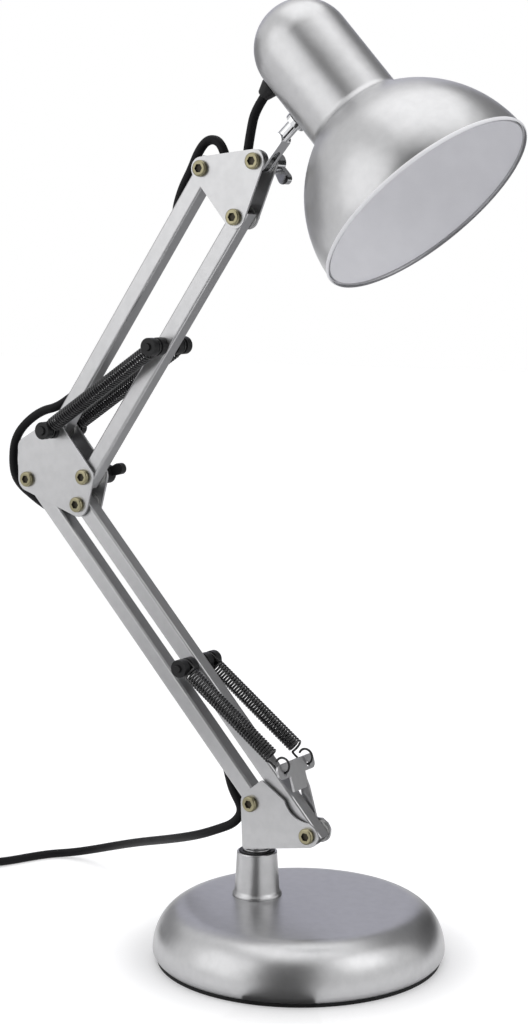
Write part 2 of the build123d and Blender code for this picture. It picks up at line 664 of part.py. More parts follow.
def plug_blades():
    """Two flat blades of the plug."""
    blade = Pos(PLUG_LONG + PRONG_LONG / 2, 0, 0) * Box(PRONG_LONG, PRONG_T, PRONG_WIDE)
    return [Pos(0, side * PRONG_GAP / 2, 0) * blade for side in (-1, 1)]


# Head fork and shade
def head_fork():
    """Two round ears that narrow into one stem, with a collar against the neck."""
    ear = hull((0, 0, EAR_R), (FORK_LONG, 0, FORK_NECK / 2))
    ears = extrude(ear, EAR_GAP / 2 + EAR_T) + extrude(ear, -EAR_GAP / 2 - EAR_T)
    slot_end = FORK_LONG * 0.62
    slot = Pos(slot_end / 2 - EAR_R, 0, 0) * Box(slot_end + 2 * EAR_R - EAR_GAP / 2, 3 * EAR_R, EAR_GAP)
    slot += Pos(slot_end - EAR_GAP / 4, 0, 0) * Rot(90, 0, 0) * Cylinder(EAR_GAP / 2, 3 * EAR_R)
    body = ears - slot - Cylinder(SCREW_R + RUN_FIT, 4 * PLATE_OUT)
    collar_end = STEM_REACH - NECK_R - SOFT_GAP
    stem_end = STEM_REACH - NECK_R + SHADE_WALL + STRAP_GAP + STRAP_T + RUN_FIT + STEM_NUT_T
    stem = Rot(0, 90, 0) * Cylinder(STEM_R, stem_end - FORK_LONG * 0.8)
    body += Pos((stem_end + FORK_LONG * 0.8) / 2, 0, 0) * stem
    collar = Rot(0, 90, 0) * Cylinder(STEM_COLLAR_R, STEM_COLLAR_T)
    return body + Pos(collar_end - STEM_COLLAR_T / 2, 0, 0) * collar, stem_end


inner_neck = NECK_R - SHADE_WALL
STRAP_GAP = inner_neck - math.sqrt(inner_neck**2 - (STRAP_WIDE / 2) ** 2) + SEAT_GAP
strap_out = inner_neck - STRAP_GAP
fork, stem_end = head_fork()
nut_in = stem_end - STEM_NUT_T
nut_shape = RegularPolygon(STEM_NUT_R, 6) - Circle(STEM_R + RUN_FIT)
stem_nut = extrude(Plane.YZ.offset(nut_in) * nut_shape, STEM_NUT_T)
fork_spacer = Cylinder(SCREW_R + 1.4, EAR_GAP - 2 * SEAT_GAP) - Cylinder(SCREW_R + RUN_FIT, EAR_GAP)


def shade_form(inset):
    """Dome, neck, hollow fillet and bell as one turned form, set in by the wall for the inside."""
    back = -DOME_BACK
    dome_r = NECK_R - inset
    fillet_at = back + NECK_LONG
    rim = back + RIM_REACH - LIP_WIDE
    start = math.radians(BELL_START)
    dome = ThreePointArc(
        (back - dome_r, 0), (back - dome_r * math.sqrt(0.5), dome_r * math.sqrt(0.5)), (back, dome_r)
    )
    neck = Line((back, dome_r), (fillet_at, dome_r))
    hollow = JernArc((fillet_at, dome_r), (1, 0), NECK_FILLET + inset, BELL_START)
    bell = TangentArc(hollow @ 1, (rim, RIM_R - LIP_STEP - inset), tangent=(math.cos(start), math.sin(start)))
    if inset:
        lip = Polyline((rim, RIM_R - LIP_STEP - inset), (rim + 2 * LIP_WIDE, RIM_R - LIP_STEP - inset))
    else:
        lip = Polyline((rim, RIM_R - LIP_STEP), (rim, RIM_R), (rim + LIP_WIDE, RIM_R))
    close = Polyline(lip @ 1, ((lip @ 1).X, 0), (back - dome_r, 0))
    return revolve(make_face(Curve() + [dome, neck, hollow, bell, lip, close]), Axis.X)


shell = shade_form(0) - shade_form(SHADE_WALL)
shell -= Pos(0, -NECK_R, 0) * Rot(90, 0, 0) * Cylinder(STEM_R + RUN_FIT, NECK_R)
shell -= Pos(-DOME_BACK, -NECK_R, 0) * Rot(90, 0, 0) * Cylinder(GLAND_R + RUN_FIT, NECK_R)

holder_back = -DOME_BACK + HOLDER_BACK
holder = revolve(make_face(Polyline(
    (holder_back, 0), (holder_back, HOLDER_R - 3), (holder_back + 3, HOLDER_R),
    (holder_back + HOLDER_LONG * 0.6, HOLDER_R), (holder_back + HOLDER_LONG * 0.6, HOLDER_SKIRT_R),
    (holder_back + HOLDER_LONG, HOLDER_SKIRT_R), (holder_back + HOLDER_LONG, HOLDER_BORE_R),
    (holder_back + HOLDER_FLOOR, HOLDER_BORE_R), (holder_back + HOLDER_FLOOR, 0), close=True)), Axis.X)
contact = Pos(holder_back + HOLDER_FLOOR + CONTACT_T / 2, 0, 0) * Rot(0, 90, 0) * Cylinder(CONTACT_R, CONTACT_T)
contact = fillet(contact.edges().group_by(Axis.X)[-1], CONTACT_T * 0.4)


def holder_strap():
    """Bent strap: one leg under the stem's nut, the other across the back of the lamp holder."""
    leg_end = STEM_R + 6.0
    leg_long = leg_end - (holder_back - STRAP_T)
    leg = Pos(holder_back - STRAP_T + leg_long / 2, -strap_out + STRAP_T / 2, 0) * Box(leg_long, STRAP_T, STRAP_WIDE)
    reach = strap_out + HOLDER_R * 0.6
    back = Pos(holder_back - STRAP_T / 2, -strap_out + reach / 2, 0) * Box(STRAP_T, reach, STRAP_WIDE)
    hole = Pos(0, -strap_out, 0) * Rot(90, 0, 0) * Cylinder(STEM_R + RUN_FIT, 6 * STRAP_T)
    lead_way = Pos(holder_back, 0, 0) * Rot(0, 90, 0) * Cylinder(LEAD_D / 2 + 2 * SOFT_GAP, 6 * STRAP_T)
    return leg + back - hole - lead_way


def cord_gland():
    """Tapered grommet through the neck for the lead."""
    low, flange = inner_neck - GLAND_FLANGE_T, NECK_R + GLAND_FLANGE_T
    profile = Polyline(
        (0, low), (GLAND_R, low), (GLAND_R, NECK_R + SEAT_GAP), (GLAND_FLANGE_R, NECK_R + SEAT_GAP),
        (GLAND_FLANGE_R, flange), (GLAND_TIP_R, NECK_R + GLAND_OUT - SEAT_GAP), (0, NECK_R + GLAND_OUT - SEAT_GAP),
        close=True,
    )
    body = revolve(Plane.XZ * make_face(profile), Axis.Z)
    way = Circle(LEAD_D / 2 + SEAT_GAP)
    way = Pos(0, 0, NECK_R) * extrude(way, 4 * GLAND_OUT, both=True)
    return Pos(-DOME_BACK, 0, 0) * Rot(90, 0, 0) * Rot(0, 0, 90) * (body - way)


def build_base():
    os.makedirs("parts", exist_ok=True)
    at_post = Pos(POST_X, 0, BASE_TOP)
    write("base_shell", base_shell())
    write("base_weight", base_weight())
    write("base_pad", Pos(0, 0, PAD_T / 2) * Cylinder(PAD_R, PAD_T))
    write("base_bolt", bolt)
    write("post_socket", at_post * post)
    write("swivel_bush", at_post * bush)


def build_lower():
    write("bracket_front_cheek", front_cheek)
    write("bracket_back_cheek", back_cheek)
    write("swivel_foot", swivel_foot)
    pivots = [LOWER_REAR, LOWER_FRONT]
    screw_end = PLATE_OUT + NUT_T + SCREW_TAIL
    write("bracket_screws", *[pan_screw(place, screw_end) for place in pivots])
    write("bracket_nuts", *[hex_nut(place, PLATE_OUT) for place in pivots])
    write("bracket_washers", *washers(pivots))
    write("lower_rear_arm", square_tube(LOWER_FRAME, LOWER_REACH, RUN_FIT, slots=LOWER_SLOTS))
    front = square_tube(frame_at(LOWER_FRONT, LOWER_ANGLE), LOWER_REACH, OPEN_FIT, pins=[LOWER_PIN_REACH])
    write("lower_front_arm", front)
    pin_end = SPOOL_FAR + PIN_END
    write("lower_spring_pin", rod(LOWER_PIN, PIN_R, -pin_end, pin_end))
    write("lower_spring_spools", *spool_pair(LOWER_PIN, ARM_SPOOL_NEAR, PIN_R))
    coil = spring(LOWER_PIN, hook_place)
    write("lower_spring_front", coil)
    write("lower_spring_back", mirror(coil, Plane.XZ))


def build_elbow():
    write("elbow_front_plate", slab(elbow_outline, -PLATE_OUT, -PLATE_IN))
    write("elbow_back_plate", slab(elbow_outline, PLATE_IN, PLATE_OUT))
    nut_end = PLATE_OUT + NUT_T + SCREW_TAIL
    wing_end = PLATE_OUT + WING_WASHER_T + WING_HUB_T + SCREW_TAIL
    ends = {ELBOW_REAR: nut_end, ELBOW_FRONT: nut_end, UPPER_FRONT: wing_end}
    write("elbow_screws", *[pan_screw(place, end) for place, end in ends.items()])
    write("elbow_nuts", *[hex_nut(place, PLATE_OUT) for place in (ELBOW_REAR, ELBOW_FRONT)])
    write("elbow_washers", *washers(elbow_pivots + [UPPER_REAR]), wing_washer(UPPER_FRONT))
    write("elbow_wing_nut", wing_nut(UPPER_FRONT, ELBOW_WING_TURN))
    pin_end = SPOOL_FAR + PIN_END
    write("elbow_spring_pin", rod(UPPER_REAR, SCREW_R, -pin_end, pin_end))
    write("elbow_spring_spools", *spool_pair(UPPER_REAR, PLATE_OUT + SEAT_GAP, SCREW_R))


def wing_washer(place):
    """Washer under a wing nut."""
    ring = Circle(WASHER_R) - Circle(SCREW_R + RUN_FIT)
    return slab(Pos(*place) * ring, PLATE_OUT, PLATE_OUT + WING_WASHER_T)


def build_upper():
    write("upper_rear_arm", square_tube(UPPER_FRAME, UPPER_REACH, RUN_FIT, slots=UPPER_SLOTS))
    front = square_tube(frame_at(UPPER_FRONT, UPPER_ANGLE), UPPER_REACH, OPEN_FIT, pins=[UPPER_PIN_REACH])
    write("upper_front_arm", front)
    pin_end = SPOOL_FAR + PIN_END
    write("upper_spring_pin", rod(UPPER_PIN, PIN_R, -pin_end, pin_end))
    write("upper_spring_spools", *spool_pair(UPPER_PIN, ARM_SPOOL_NEAR, PIN_R))
    coil = spring(UPPER_REAR, UPPER_PIN)
    write("upper_spring_front", coil)
    write("upper_spring_back", mirror(coil, Plane.XZ))


def build_head():
    write("head_front_plate", slab(head_outline, -PLATE_OUT, -PLATE_IN))
    write("head_back_plate", slab(head_outline, PLATE_IN, PLATE_OUT))
    nut_end = PLATE_OUT + NUT_T + SCREW_TAIL
    wing_end = PLATE_OUT + WING_WASHER_T + WING_HUB_T + SCREW_TAIL
    ends = {HEAD_REAR: nut_end, HEAD_FRONT: nut_end, TILT: wing_end}
    write("head_screws", *[pan_screw(place, end) for place, end in ends.items()])
    write("head_nuts", *[hex_nut(place, PLATE_OUT) for place in (HEAD_REAR, HEAD_FRONT)])
    write("head_washers", *washers([HEAD_REAR, HEAD_FRONT, TILT]), wing_washer(TILT))
    write("head_wing_nut", wing_nut(TILT, HEAD_WING_TURN))
    write("head_fork", STEM_FRAME * fork)
    write("fork_spacer", STEM_FRAME * fork_spacer)
    write("stem_nut", STEM_FRAME * stem_nut)
    write("shade_shell", SHADE_FRAME * shell)
    write("lamp_holder", SHADE_FRAME * holder)
    write("holder_contact", SHADE_FRAME * contact)
    write("holder_strap", SHADE_FRAME * holder_strap())
    write("cord_gland", SHADE_FRAME * cord_gland())


def build_lead():
    write("head_cord_upper", lead_stretch("head_cord_upper", head_upper_points))
    write("head_cord_lower", lead_stretch("head_cord_lower", head_lower_points))
    write("head_loop_cord", lead_stretch("head_loop_cord", head_loop_points))
    write("upper_arm_cord", lead_inside(UPPER_FRAME, upper_inside))
    write("elbow_upper_cord", lead_stretch("elbow_upper_cord", elbow_upper_points))
    write("elbow_lower_cord", lead_stretch("elbow_lower_cord", elbow_lower_points))
    write("lower_arm_cord", lead_inside(LOWER_FRAME, lower_inside))
    path, radii = route(trimmed(lead_points, last=False))
    section = Plane(origin=path @ 0, z_dir=path % 0) * Circle(LEAD_D / 2)
    tube = sweep(section, path=path)
    print("mains_lead length %.0f mm, radii" % path.length, [round(radius, 1) for radius in radii])
    print("volume over section times length %.4f" % (tube.volume / (path.length * math.pi * LEAD_D**2 / 4)))
    write("mains_lead", tube)
    coil, tail = lead_coil()
    place = coil_frame()
    write("lead_coil", place * coil)
    write("coil_tie", place * coil_tie())
    write("plug", place * plug_at(tail) * plug_body())
    write("plug_blades", *[place * plug_at(tail) * blade for blade in plug_blades()])


def lead_inside(frame, ends):
    """Lead inside a tube, along its left wall."""
    (low, y), (high, _) = ends
    low, high = low + LEAD_JOINT / 2, high - LEAD_JOINT / 2
    section = Plane.YZ.offset(low) * Pos(y, 0) * Circle(LEAD_D / 2)
    return frame * extrude(section, high - low)


build_base()
build_lower()
build_elbow()
build_upper()
build_head()
build_lead()
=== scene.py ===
import math

import bpy
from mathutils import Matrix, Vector


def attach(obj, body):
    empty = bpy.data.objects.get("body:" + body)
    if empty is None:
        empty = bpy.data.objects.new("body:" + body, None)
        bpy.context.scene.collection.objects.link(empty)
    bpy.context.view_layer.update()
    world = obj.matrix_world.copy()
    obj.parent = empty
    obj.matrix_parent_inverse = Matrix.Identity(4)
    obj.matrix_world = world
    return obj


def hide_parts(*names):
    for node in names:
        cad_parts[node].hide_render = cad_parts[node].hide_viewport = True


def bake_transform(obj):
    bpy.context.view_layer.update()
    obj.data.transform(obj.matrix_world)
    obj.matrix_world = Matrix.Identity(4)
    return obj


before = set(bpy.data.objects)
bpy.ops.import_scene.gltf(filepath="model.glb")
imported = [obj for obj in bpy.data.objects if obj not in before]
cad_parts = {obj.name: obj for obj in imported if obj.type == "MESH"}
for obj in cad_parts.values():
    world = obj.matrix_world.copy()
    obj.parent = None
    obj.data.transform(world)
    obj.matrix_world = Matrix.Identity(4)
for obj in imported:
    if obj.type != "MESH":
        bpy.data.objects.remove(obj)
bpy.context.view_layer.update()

# Foot pad: a black rubber disc under the base, cut from sheet and glued to the shell's rim.
# Only its edge shows, as a thin dark line along the table.


def finish(name, colour, colour_two, grain, roughness, metallic=0.0, bump=0.0, specular=0.5):
    """A finish whose colour wanders between two near tones and whose skin has a fine grain."""
    cloud_share, cloud_detail, cloud_low, cloud_high = 0.08, 4.0, 0.35, 0.65
    speck_detail, gloss_spread, skin_deep = 3.0, 0.1, 0.0002
    material = bpy.data.materials.new(name)
    material.use_nodes = True
    nodes, links = material.node_tree.nodes, material.node_tree.links
    shader = nodes["Principled BSDF"]
    shader.inputs["Metallic"].default_value = metallic
    shader.inputs["Specular IOR Level"].default_value = specular
    place = nodes.new("ShaderNodeTexCoord")
    cloud = nodes.new("ShaderNodeTexNoise")
    cloud.inputs["Scale"].default_value = grain * cloud_share
    cloud.inputs["Detail"].default_value = cloud_detail
    links.new(place.outputs["Object"], cloud.inputs["Vector"])
    tones = nodes.new("ShaderNodeValToRGB")
    tones.color_ramp.elements[0].position = cloud_low
    tones.color_ramp.elements[1].position = cloud_high
    tones.color_ramp.elements[0].color = (*colour, 1)
    tones.color_ramp.elements[1].color = (*colour_two, 1)
    links.new(cloud.outputs["Fac"], tones.inputs["Fac"])
    links.new(tones.outputs["Color"], shader.inputs["Base Color"])
    speck = nodes.new("ShaderNodeTexNoise")
    speck.inputs["Scale"].default_value = grain
    speck.inputs["Detail"].default_value = speck_detail
    links.new(place.outputs["Object"], speck.inputs["Vector"])
    gloss = nodes.new("ShaderNodeMapRange")
    gloss.inputs["To Min"].default_value = roughness * (1 - gloss_spread)
    gloss.inputs["To Max"].default_value = roughness * (1 + gloss_spread)
    links.new(speck.outputs["Fac"], gloss.inputs["Value"])
    links.new(gloss.outputs["Result"], shader.inputs["Roughness"])
    if bump:
        skin = nodes.new("ShaderNodeBump")
        skin.inputs["Strength"].default_value = bump
        skin.inputs["Distance"].default_value = skin_deep
        links.new(speck.outputs["Fac"], skin.inputs["Height"])
        links.new(skin.outputs["Normal"], shader.inputs["Normal"])
    return material


def coat_node(material, *names):
    """Gives solids that keep their shape a finish of their own."""
    for name in names:
        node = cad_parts[name]
        node.data.materials.clear()
        node.data.materials.append(material)


rubber = finish(
    "black_rubber", (0.010, 0.010, 0.011), (0.016, 0.016, 0.016),
    grain=900, roughness=0.7, bump=0.2, specular=0.2,
)
coat_node(rubber, "base_pad")

# Weight and bolt: a grey cast-iron disc hidden in the base, and the zinc-plated bolt that pulls
# the post down on it. They are seen only when the base is opened.
cast_iron = finish(
    "grey_cast_iron", (0.09, 0.09, 0.095), (0.15, 0.15, 0.155),
    grain=500, roughness=0.75, metallic=0.6, bump=0.5,
)
zinc = finish(
    "zinc_plate", (0.56, 0.56, 0.55), (0.66, 0.66, 0.64),
    grain=700, roughness=0.34, metallic=1.0, bump=0.05,
)
coat_node(cast_iron, "base_weight")
coat_node(zinc, "base_bolt")

# Base shell: a round steel pressing with a wide rolled shoulder and a flat top, painted satin silver.
# It is made from one flat blank, so its section runs round without a seam.
silver = finish(
    "satin_silver_paint", (0.465, 0.465, 0.472), (0.495, 0.495, 0.502),
    grain=2500, roughness=0.33, metallic=0.9, bump=0.05,
)


def lathe(name, profile, steps=128):
    """Draws a ring out along a profile of (radius, height) points, from its first point to its last."""
    merge_near, smooth_angle = 0.000002, math.radians(40)
    bpy.ops.object.select_all(action="DESELECT")
    radius, height = profile[0]
    bpy.ops.mesh.primitive_circle_add(vertices=steps, radius=radius, location=(0, 0, height))
    piece = bpy.context.object
    piece.name = piece.data.name = name
    bpy.ops.object.transform_apply(location=True, rotation=True, scale=True)
    bpy.ops.object.mode_set(mode="EDIT")
    bpy.ops.mesh.select_all(action="SELECT")
    for (near_r, near_z), (far_r, far_z) in zip(profile, profile[1:]):
        bpy.ops.mesh.extrude_region_move(TRANSFORM_OT_translate={"value": (0, 0, far_z - near_z)})
        ratio = far_r / near_r
        bpy.ops.transform.resize(value=(ratio, ratio, 1), center_override=(0, 0, far_z))
    bpy.ops.mesh.select_all(action="SELECT")
    bpy.ops.mesh.remove_doubles(threshold=merge_near)
    bpy.ops.mesh.fill_holes(sides=0)
    bpy.ops.mesh.select_all(action="SELECT")
    bpy.ops.mesh.normals_make_consistent(inside=False)
    bpy.ops.object.mode_set(mode="OBJECT")
    if sum(face.center.dot(face.normal) * face.area for face in piece.data.polygons) < 0:
        piece.data.flip_normals()
    bpy.ops.object.shade_smooth_by_angle(angle=smooth_angle)
    return piece


def settle(piece, body, material, slot, *nodes):
    """Hangs a finished piece on its body, in its finish, in place of its solids."""
    if material is not None:
        piece.data.materials.clear()
        piece.data.materials.append(material)
    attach(piece, body)
    if nodes:
        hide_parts(*nodes)
    return piece


base_r, base_top, base_wide_z, base_flat_r, base_wall = 0.083, 0.031, 0.006, 0.0615, 0.0012
base_rim_r, base_rim_z, base_middle_r, axis_r = 0.0806, 0.0021, 0.03, 0.0001
shoulder_wide, shoulder_tall, shoulder_steps = base_r - base_flat_r, base_top - base_wide_z, 18
outer_edge, inner_edge = [], []
for step in range(shoulder_steps + 1):
    turn = math.radians(90 * step / shoulder_steps)
    edge_r = base_flat_r + shoulder_wide * math.cos(turn)
    outer_edge.append((edge_r, base_wide_z + shoulder_tall * math.sin(turn)))
    inner_edge.append((edge_r - base_wall, base_wide_z + (shoulder_tall - base_wall) * math.sin(turn)))
tuck = [(0.0818, 0.0033), (0.0825, 0.0044), (0.0829, 0.0052)]
base_profile = [(axis_r, base_top - base_wall), (base_middle_r, base_top - base_wall)] + inner_edge[::-1]
base_profile += [(base_rim_r - base_wall, base_rim_z), (base_rim_r, base_rim_z)]
base_profile += tuck + outer_edge + [(base_middle_r, base_top), (axis_r, base_top)]
base_piece = lathe("base_cover", base_profile)
settle(base_piece, "base", silver, "silver_paint", "base_shell")

# Post socket and bush: a turned, slightly tapered silver sleeve bolted to the base, with a black
# plastic bush pressed into it on which the whole lamp swivels.
black_plastic = finish(
    "black_plastic", (0.009, 0.009, 0.010), (0.014, 0.014, 0.015),
    grain=800, roughness=0.42, bump=0.12, specular=0.25,
)


def set_down(piece, place, lean=0.0):
    """Moves a lathed piece to its place and leans its axis from upright towards +X."""
    piece.rotation_euler = (0, lean, 0)
    piece.location = place
    bpy.ops.object.transform_apply(location=True, rotation=True, scale=True)


post_place = (-0.0282, 0, 0.031)
post_profile = [
    (0.0081, 0.004), (0.0081, 0.0254), (0.0083, 0.0256), (0.0113, 0.0256), (0.01155, 0.0253),
    (0.0116, 0.0247), (0.0129, 0.0034), (0.0132, 0.0024), (0.0139, 0.0016), (0.0142, 0.0012),
    (0.0142, 0.0001), (0.0081, 0.0001), (0.0081, 0.004),
]
post_piece = lathe("post_sleeve", post_profile, steps=96)
set_down(post_piece, post_place)
settle(post_piece, "base", silver, "silver_paint", "post_socket")
bush_profile = [
    (0.00505, 0.0041), (0.00505, 0.0261), (0.0053, 0.0264), (0.0101, 0.0264), (0.0104, 0.0261),
    (0.0104, 0.0259), (0.0102, 0.0257), (0.0079, 0.0257), (0.0079, 0.0041), (0.00505, 0.0041),
]
bush_piece = lathe("swivel_bush_ring", bush_profile, steps=64)
set_down(bush_piece, post_place)
settle(bush_piece, "base", black_plastic, "black_plastic", "swivel_bush")

# Lower bracket: two stamped steel cheeks, the rear one bent over into a T-shaped tab for the springs,
# on a foot whose pin turns in the bush. Stamped edges are slightly rounded under the paint.


def dressed(node_name, edge):
    """A merged copy of a solid whose sharp edges are broken by a small round."""
    merge_near, flat_angle = 0.000005, math.radians(0.6)
    sharp_angle, smooth_angle = math.radians(50), math.radians(38)
    bpy.ops.object.select_all(action="DESELECT")
    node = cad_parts[node_name]
    piece = bpy.data.objects.new(node_name + "_piece", node.data.copy())
    bpy.context.scene.collection.objects.link(piece)
    piece.data.name = piece.name
    piece.select_set(True)
    bpy.context.view_layer.objects.active = piece
    bpy.ops.object.mode_set(mode="EDIT")
    bpy.ops.mesh.select_all(action="SELECT")
    bpy.ops.mesh.customdata_custom_splitnormals_clear()
    bpy.ops.mesh.remove_doubles(threshold=merge_near)
    bpy.ops.mesh.dissolve_limited(angle_limit=flat_angle)
    bpy.ops.object.mode_set(mode="OBJECT")
    if edge:
        bevel = piece.modifiers.new("edge", "BEVEL")
        bevel.width = edge
        bevel.segments = 2
        bevel.limit_method = "ANGLE"
        bevel.angle_limit = sharp_angle
        bpy.ops.object.modifier_apply(modifier="edge")
    bpy.ops.object.shade_smooth_by_angle(angle=smooth_angle)
    even = piece.modifiers.new("even", "WEIGHTED_NORMAL")
    even.weight = 100
    even.keep_sharp = True
    bpy.ops.object.modifier_apply(modifier="even")
    return piece


for cheek in ("bracket_front_cheek", "bracket_back_cheek", "swivel_foot"):
    settle(dressed(cheek, edge=0.00035), "lower_bracket", silver, "silver_paint", cheek)

# Pivot screws: pan heads with a hexagon socket in dull yellow zinc on the front, hexagon nuts at the
# back and plain washers either side of each tube. Inside the sockets a painted shade darkens the zinc.
yellow_zinc = finish(
    "yellow_zinc", (0.24, 0.22, 0.14), (0.34, 0.31, 0.20),
    grain=900, roughness=0.30, metallic=1.0, bump=0.08,
)
socket_painted_shade = finish(
    "socket_painted_shade", (0.035, 0.030, 0.020), (0.06, 0.052, 0.036),
    grain=900, roughness=0.5, metallic=0.7, bump=0.08,
)
socket_r, socket_lip, head_tall = 0.0026, 0.0002, 0.0026
screw_places = (
    ("bracket", "lower_bracket", ((-0.0276, 0.0860), (0.0102, 0.0730))),
    ("elbow", "elbow", ((-0.18811, 0.2624), (-0.14571, 0.2660), (-0.15031, 0.2494))),
    ("head", "head_bracket", ((-0.0604, 0.44328), (-0.0382, 0.41618), (-0.0254, 0.44628))),
)
for joint, body, places in screw_places:
    screws = dressed(joint + "_screws", edge=0.0002)
    settle(screws, body, yellow_zinc, "yellow_zinc", joint + "_screws")
    # Painted shade: the faces inside each socket, below its lip, take a near-black zinc for the recess's
    # shade.
    screws.data.materials.append(socket_painted_shade)
    face_y = min(vertex.co.y for vertex in screws.data.vertices)
    for face in screws.data.polygons:
        off_axis = min(math.dist((face.center.x, face.center.z), place) for place in places)
        if off_axis < socket_r and socket_lip < face.center.y - face_y < head_tall:
            face.material_index = 1
    settle(dressed(joint + "_nuts", edge=0.0003), body, zinc, "zinc_steel", joint + "_nuts")
    settle(dressed(joint + "_washers", edge=0.0001), body, zinc, "zinc_steel", joint + "_washers")

# Arms: four lengths of welded square steel tube, sawn square, drilled for the pivots and slotted
# on the rear pair for the lead, then painted.
for arm in ("lower_rear_arm", "lower_front_arm", "upper_rear_arm", "upper_front_arm"):
    settle(dressed(arm, edge=0.00025), arm, silver, "silver_paint", arm)

# Elbow and head plates: flat steel stampings with round corners, in pairs either side of the tubes.
# They are painted like the arms and held by the pivot screws.
for plate, body in (
    ("elbow_front_plate", "elbow"), ("elbow_back_plate", "elbow"),
    ("head_front_plate", "head_bracket"), ("head_back_plate", "head_bracket"),
):
    settle(dressed(plate, edge=0.00035), body, silver, "silver_paint", plate)

# Spring pins and spools: black steel pins across the arms, with black plastic bobbins that hold the
# springs' hooks in a groove.
for pin, body in (
    ("lower_spring", "lower_front_arm"), ("upper_spring", "upper_front_arm"), ("elbow_spring", "elbow"),
):
    settle(dressed(pin + "_pin", edge=0.0003), body, black_plastic, "zinc_steel", pin + "_pin")
    settle(dressed(pin + "_spools", edge=0.0004), body, black_plastic, "black_plastic", pin + "_spools")

# Springs: coils of black steel wire, hooked at both ends. The lower pair pulls from the bracket's tab
# to the front arm and the upper pair from the elbow to the front arm.
spring_black = finish(
    "black_spring_wire", (0.005, 0.005, 0.006), (0.010, 0.010, 0.011),
    grain=700, roughness=0.2, bump=0.05,
)
coil_r, wire_r, hook_r, hook_y = 0.0039, 0.00067, 0.0044, 0.0122
hook_open, hook_sweep, hook_steps = 75, 285, 18
coil_pitch, per_turn, leg_ease, leg_start = 0.0018, 14, 0.0008, 0.005
ring_r = coil_r * 1.02


def spring_line(start, end, leg_end):
    """Points along one front spring, from the hook on its start to the hook on its end."""
    lean = 2 * (hook_r - coil_r)
    rise = math.sqrt((end[0] - start[0]) ** 2 + (end[1] - start[1]) ** 2 - lean**2)
    turn = math.atan2(end[1] - start[1], end[0] - start[0]) - math.atan2(lean, rise)
    middle = coil_r - hook_r

    def hook(leg):
        bends = [math.radians(hook_open + hook_sweep * k / hook_steps) for k in range(hook_steps + 1)]
        line = [(middle + hook_r * math.cos(a), -leg_ease, hook_r * math.sin(a)) for a in bends]
        return line + [(coil_r, -leg_ease, leg * 0.5), (coil_r, -leg_ease, leg)]

    low, high = leg_start + leg_ease, rise - leg_end - leg_ease
    local = hook(leg_start)
    count = int((int((high - low) / coil_pitch) + 0.5) * per_turn)
    for k in range(count + 1):
        angle = 2 * math.pi * k / per_turn
        local.append((ring_r * math.cos(angle), ring_r * math.sin(angle), low + (high - low) * k / count))
    local += [(-x, y, rise - z) for x, y, z in hook(leg_end)[::-1]]
    along = Vector((math.cos(turn), 0, math.sin(turn)))
    left = Vector((-math.sin(turn), 0, math.cos(turn)))
    origin = Vector((start[0], -hook_y, start[1]))
    return [
        origin + left * (x - middle) + Vector((0, -1, 0)) * (y + leg_ease) + along * z for x, y, z in local
    ]


def wound(name, points, radius, sides, smooth, swell=None):
    """A round wire along a smooth line through control points, and the line that it follows."""
    smooth_angle = math.radians(50)
    curve = bpy.data.curves.new(name, "CURVE")
    curve.dimensions = "3D"
    line = curve.splines.new("NURBS")
    line.points.add(len(points) - 1)
    for point, place in zip(line.points, points):
        point.co = (*place, 1)
    for point, share in zip(line.points, swell or []):
        point.radius = share
    line.order_u = 3
    line.use_endpoint_u = True
    line.resolution_u = smooth
    piece = bpy.data.objects.new(name, curve)
    bpy.context.scene.collection.objects.link(piece)
    bpy.context.view_layer.update()
    bare = bpy.data.meshes.new_from_object(piece)
    path = [vertex.co.copy() for vertex in bare.vertices]
    bpy.data.meshes.remove(bare)
    curve.bevel_depth = radius
    curve.bevel_resolution = sides
    curve.use_fill_caps = True
    bpy.ops.object.select_all(action="DESELECT")
    piece.select_set(True)
    bpy.context.view_layer.objects.active = piece
    bpy.ops.object.convert(target="MESH")
    bpy.ops.object.shade_smooth_by_angle(angle=smooth_angle)
    return bpy.context.object, path


spring_ends = (
    ("lower_spring", (-0.06989, 0.16102), (-0.00312, 0.11264), 0.0075, "lower_front_arm", "lower_bracket"),
    ("upper_spring", (-0.16791, 0.29310), (-0.08983, 0.34406), 0.005, "elbow", "upper_front_arm"),
)
for name, start, end, leg_end, body_start, body_end in spring_ends:
    front = spring_line(start, end, leg_end)
    for side, points in (("front", front), ("back", [Vector((p.x, -p.y, p.z)) for p in front])):
        piece, _ = wound(f"{name}_{side}_wire", points, wire_r, sides=2, smooth=2)
        piece.data.materials.append(spring_black)
        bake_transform(piece)
        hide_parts(f"{name}_{side}")

# Wing nuts: a black moulded one behind the elbow, on the upper front arm's screw, and a chromed one
# behind the head, on the tilt screw. They set the friction by hand.
chrome = finish(
    "bright_chrome", (0.58, 0.585, 0.595), (0.64, 0.645, 0.655), grain=500, roughness=0.14, metallic=1.0
)
elbow_wing = dressed("elbow_wing_nut", edge=0.0008)
settle(elbow_wing, "elbow_knob", black_plastic, "black_plastic", "elbow_wing_nut")
settle(dressed("head_wing_nut", edge=0.0008), "head_knob", chrome, "chrome", "head_wing_nut")

# Head fork: a chromed fork that tilts on the head's pivot, with a spacer between its ears. Its stem
# goes through the shade's neck and is held inside by a nut.
settle(dressed("head_fork", edge=0.0005), "fork", chrome, "chrome", "head_fork")
settle(dressed("stem_nut", edge=0.0003), "fork", chrome, "chrome", "stem_nut")
settle(dressed("fork_spacer", edge=0.0001), "fork", zinc, "zinc_steel", "fork_spacer")

